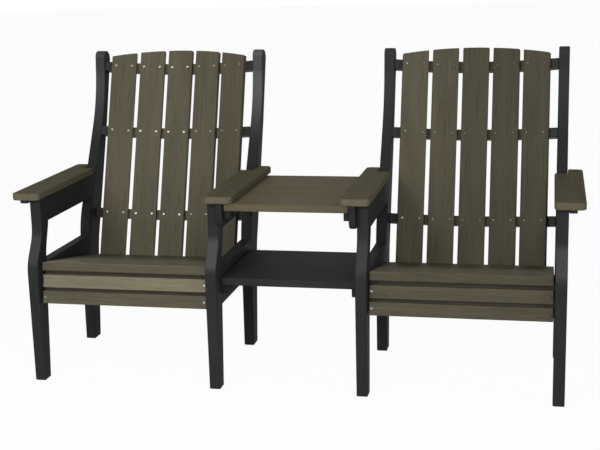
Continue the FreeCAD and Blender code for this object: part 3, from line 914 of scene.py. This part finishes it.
@dataclass
class Screws:
    """A group of pan-head screws, each with a square drive recess.

    An end face is one that looks along the screw at least as nearly as the flatness says, and points of the
    construction that are closer than merge_distance are one.
    """

    node: str
    piece: str
    head_radius: float = 0.0045
    head_height: float = 0.0024
    head_edge: float = 0.0011
    edge_profile: float = 0.6
    edge_segments: int = 3
    shank_radius: float = 0.0023
    length: float = 0.048
    tip_taper: float = 0.2
    recess_width: float = 0.0030
    recess_depth: float = 0.0015
    sides: int = 16
    crease: float = math.radians(35)
    flatness: float = 0.99
    merge_distance: float = 1e-5

    def build(self, material: bpy.types.Material) -> None:
        """Models one screw and sets a copy at every place that the construction has one.

        Args:
            material: the steel.
        """
        model = self._model()
        copies = [self._copy(model, spot) for spot in self._places()]
        bpy.data.objects.remove(model)
        bpy.ops.object.select_all(action="DESELECT")
        for copy in copies:
            copy.select_set(True)
        bpy.context.view_layer.objects.active = copies[0]
        bpy.ops.object.join()
        piece = bpy.context.object
        piece.name = self.piece
        piece.data.materials.clear()
        piece.data.materials.append(material)
        bpy.ops.object.shade_smooth_by_angle(angle=self.crease)
        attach(piece, "root")
        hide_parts(self.node)
        LOG.info("%s: %d screws", self.piece, len(copies))

    def _model(self) -> bpy.types.Object:
        """Makes one screw.

        Returns:
            The screw, whose head seats at the origin and whose shank runs down.
        """
        bpy.ops.object.select_all(action="DESELECT")
        bpy.ops.mesh.primitive_cylinder_add(
            vertices=self.sides,
            radius=self.head_radius,
            depth=self.head_height,
            location=(0.0, 0.0, self.head_height / 2),
        )
        screw = bpy.context.object
        bpy.ops.object.transform_apply(location=True, rotation=True, scale=True)
        bpy.ops.object.mode_set(mode="EDIT")
        self._pick_face(screw, 1.0)
        bpy.ops.mesh.bevel(
            offset=self.head_edge, segments=self.edge_segments, affect="EDGES", profile=self.edge_profile
        )
        self._pick_face(screw, -1.0)
        bpy.ops.mesh.inset(thickness=self.head_radius - self.shank_radius)
        tip = self.shank_radius * 2
        bpy.ops.mesh.extrude_region_move(TRANSFORM_OT_translate={"value": (0.0, 0.0, tip - self.length)})
        bpy.ops.mesh.extrude_region_move(TRANSFORM_OT_translate={"value": (0.0, 0.0, -tip)})
        bpy.ops.transform.resize(value=(self.tip_taper, self.tip_taper, 1.0))
        bpy.ops.object.mode_set(mode="OBJECT")
        self._cut_recess(screw)
        return screw

    def _pick_face(self, item: bpy.types.Object, way: float) -> None:
        """Selects a flat end face, in edit mode.

        Args:
            item: the object being edited.
            way: 1 for the face that looks up, -1 for the one that looks down.
        """
        bpy.ops.mesh.select_mode(type="FACE")
        bpy.ops.mesh.select_all(action="DESELECT")
        bpy.ops.object.mode_set(mode="OBJECT")
        for face in item.data.polygons:
            face.select = face.normal.z * way > self.flatness
        bpy.ops.object.mode_set(mode="EDIT")

    def _cut_recess(self, screw: bpy.types.Object) -> None:
        """Cuts the square drive recess into the head.

        Args:
            screw: the screw, with its head at the top.
        """
        bpy.ops.object.select_all(action="DESELECT")
        bpy.ops.mesh.primitive_cube_add(size=1.0, location=(0.0, 0.0, self.head_height))
        cutter = bpy.context.object
        cutter.scale = (self.recess_width, self.recess_width, 2 * self.recess_depth)
        bpy.ops.object.transform_apply(location=True, rotation=True, scale=True)
        bpy.ops.object.select_all(action="DESELECT")
        screw.select_set(True)
        bpy.context.view_layer.objects.active = screw
        cut = screw.modifiers.new("recess", "BOOLEAN")
        cut.operation = "DIFFERENCE"
        cut.object = cutter
        bpy.ops.object.modifier_apply(modifier=cut.name)
        bpy.data.objects.remove(cutter)

    def _places(self) -> list[Matrix]:
        """Finds the construction's screws.

        Returns:
            A place for each, at the seat of its head, with the shank down local -Z.
        """
        bpy.ops.object.select_all(action="DESELECT")
        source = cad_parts[self.node]
        twin = source.copy()
        twin.data = source.data.copy()
        bpy.context.scene.collection.objects.link(twin)
        twin.parent = None
        twin.select_set(True)
        bpy.context.view_layer.objects.active = twin
        bpy.ops.object.mode_set(mode="EDIT")
        bpy.ops.mesh.select_all(action="SELECT")
        bpy.ops.mesh.remove_doubles(threshold=self.merge_distance)
        bpy.ops.mesh.separate(type="LOOSE")
        bpy.ops.object.mode_set(mode="OBJECT")
        parts = list(bpy.context.selected_objects)
        places = [self._place_of([vertex.co for vertex in part.data.vertices]) for part in parts]
        for part in parts:
            bpy.data.objects.remove(part)
        return places

    def _place_of(self, points: list[Vector]) -> Matrix:
        """Finds one screw's place from its farthest two points, the crown and the tip.

        Args:
            points: the screw's points.

        Returns:
            The place of its seat, with the shank down local -Z.
        """
        middle = sum(points, Vector()) / len(points)
        tip = max(points, key=lambda point: (point - middle).length)
        crown = max(points, key=lambda point: (point - tip).length)
        outward = (crown - tip).normalized()
        seat = crown - outward * self.head_height
        return Matrix.Translation(seat) @ outward.to_track_quat("Z", "Y").to_matrix().to_4x4()

    @staticmethod
    def _copy(model: bpy.types.Object, spot: Matrix) -> bpy.types.Object:
        """Copies the model with its mesh.

        Args:
            model: the screw at the origin.
            spot: where the copy goes.

        Returns:
            The copy, with its place in its mesh.
        """
        copy = model.copy()
        copy.data = model.data.copy()
        copy.data.transform(spot)
        bpy.context.scene.collection.objects.link(copy)
        return copy


@dataclass(frozen=True)
class FloorPaint:
    """Pale matt paint, which the camera sees as nearly white with a faint shadow."""

    level: float = 0.82
    roughness: float = 0.9
    specular: float = 0.2
    whiteness: float = 0.965

    def material(self, name: str) -> bpy.types.Material:
        """Makes the floor's material.

        Args:
            name: the material's name.

        Returns:
            The material.
        """
        graph = ShaderGraph(name)
        graph.set("Base Color", grey(self.level))
        graph.set("Roughness", self.roughness)
        graph.set("Specular IOR Level", self.specular)
        white = graph.node("ShaderNodeEmission", None, {"Color": WHITE, "Strength": 1.0})
        seen = graph.backdrop_rays() * self.whiteness
        mixed = graph.mix_shaders(seen, graph.shader.outputs["BSDF"], white.outputs[0])
        graph.feed(graph.output.inputs["Surface"], mixed)
        return graph.material


@dataclass(frozen=True)
class Lamp:
    """A square lamp that faces the bench, with its size in metres and its power in watts."""

    name: str
    place: Place
    size: float
    power: float
    aim: Place = (0.0, 0.0, 0.5)

    def hang(self) -> None:
        """Hangs the lamp at its place and turns it to the bench."""
        data = bpy.data.lights.new(self.name, "AREA")
        data.size = self.size
        data.energy = self.power
        lamp = bpy.data.objects.new(self.name, data)
        lamp.location = self.place
        towards = Vector(self.aim) - Vector(self.place)
        lamp.rotation_mode = "QUATERNION"
        lamp.rotation_quaternion = towards.to_track_quat("-Z", "Y")
        bpy.context.scene.collection.objects.link(lamp)


@dataclass
class Studio:
    """The floor, the lamps, the world and the camera, whose lens and sensor are in millimetres."""

    camera_place: Place = (0.8101, -3.8677, 1.3625)
    heading: float = math.radians(12.2755)
    pitch: float = math.radians(-12.815)
    roll: float = math.radians(-1.5348)
    lens: float = 70.508
    sensor: float = 36.0
    floor_size: float = 60.0
    world_light: float = 0.12
    lamps: tuple[Lamp, ...] = (
        Lamp("key", (-1.78, -4.5, 3.16), 1.3, 110.0),
        Lamp("front", (-0.8, -5.0, 1.2), 2.4, 72.0),
        Lamp("fill", (1.6, -4.5, 3.2), 1.6, 66.0),
        Lamp("side", (4.4, -2.4, 1.7), 2.4, 60.0),
    )

    def build(self) -> None:
        """Makes the whole studio."""
        self._camera()
        self._floor()
        self._world()
        for lamp in self.lamps:
            lamp.hang()
            LOG.info("lamp: %s", lamp.name)
        bpy.context.scene.view_settings.view_transform = "Standard"

    def _camera(self) -> None:
        """Makes the camera at the photograph's place."""
        data = bpy.data.cameras.new("camera")
        data.lens = self.lens
        data.sensor_width = self.sensor
        camera = bpy.data.objects.new("camera", data)
        bpy.context.scene.collection.objects.link(camera)
        turn = (
            Matrix.Rotation(self.heading, 4, "Z")
            @ Matrix.Rotation(math.pi / 2 + self.pitch, 4, "X")
            @ Matrix.Rotation(self.roll, 4, "Z")
        )
        camera.matrix_world = Matrix.Translation(self.camera_place) @ turn
        bpy.context.scene.camera = camera

    def _floor(self) -> None:
        """Makes the pale floor."""
        bpy.ops.object.select_all(action="DESELECT")
        bpy.ops.mesh.primitive_plane_add(size=self.floor_size, location=(0.0, 0.0, 0.0))
        floor = bpy.context.object
        floor.name = "floor"
        floor.data.materials.append(FloorPaint().material("floor_paint"))

    def _world(self) -> None:
        """Makes the soft light from all round, white where it is seen."""
        world = bpy.data.worlds.new("studio")
        bpy.context.scene.world = world
        world.use_nodes = True
        graph = NodeGraph(world.node_tree)
        light = graph.node("ShaderNodeBackground", None, {"Color": WHITE, "Strength": self.world_light})
        seen = graph.node("ShaderNodeBackground", None, {"Color": WHITE, "Strength": 1.0})
        mixed = graph.mix_shaders(graph.backdrop_rays(), light.outputs[0], seen.outputs[0])
        graph.node("ShaderNodeOutputWorld", None, {"Surface": mixed})


# The right chair's boards are painted darker, its slats most to the right: painted shade for the light
# falling off to the right.
LEFT_CHAIR = Chair(
    side="left",
    outer=SideTones(arm=1.12, leg_sheen=0.042, post_sheen=0.056),
    inner=SideTones(arm=1.03, leg_sheen=0.060, post_sheen=0.094),
    slats=(0.92, 0.94, 0.89, 0.87, 0.83),
    seat=0.80,
    upper_fascia=1.6,
    lower_fascia=0.86,
    rail_bounce_light=(0.150, 0.132, 0.090),
)
RIGHT_CHAIR = Chair(
    side="right",
    outer=SideTones(arm=0.95, leg_sheen=0.050, post_sheen=0.032),
    inner=SideTones(arm=1.2, leg_sheen=0.040, post_sheen=0.036),
    slats=(0.87, 0.78, 0.62, 0.58, 0.62),
    seat=0.63,
    upper_fascia=0.72,
    lower_fascia=0.68,
    rail_bounce_light=(0.072, 0.064, 0.043),
)
SCREWS = (Screws("back_slat_screws", "back_slat_pan_screws"), Screws("fascia_screws", "fascia_pan_screws"))


def main() -> None:
    """Builds the studio and dresses the bench."""
    logging.basicConfig(level=logging.INFO)
    Studio().build()
    dresser = Dresser()
    for furniture in (LEFT_CHAIR, RIGHT_CHAIR, Table()):
        furniture.dress(dresser)
    steel = ScrewSteel().material("screw_steel_finish")
    for screws in SCREWS:
        screws.build(steel)
        dresser.finished.add(screws.node)
    left_plain = set(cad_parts) - dresser.finished
    if left_plain:
        LOG.warning("nodes with no finish: %s", sorted(left_plain))


if __name__ == "__main__":
    main()
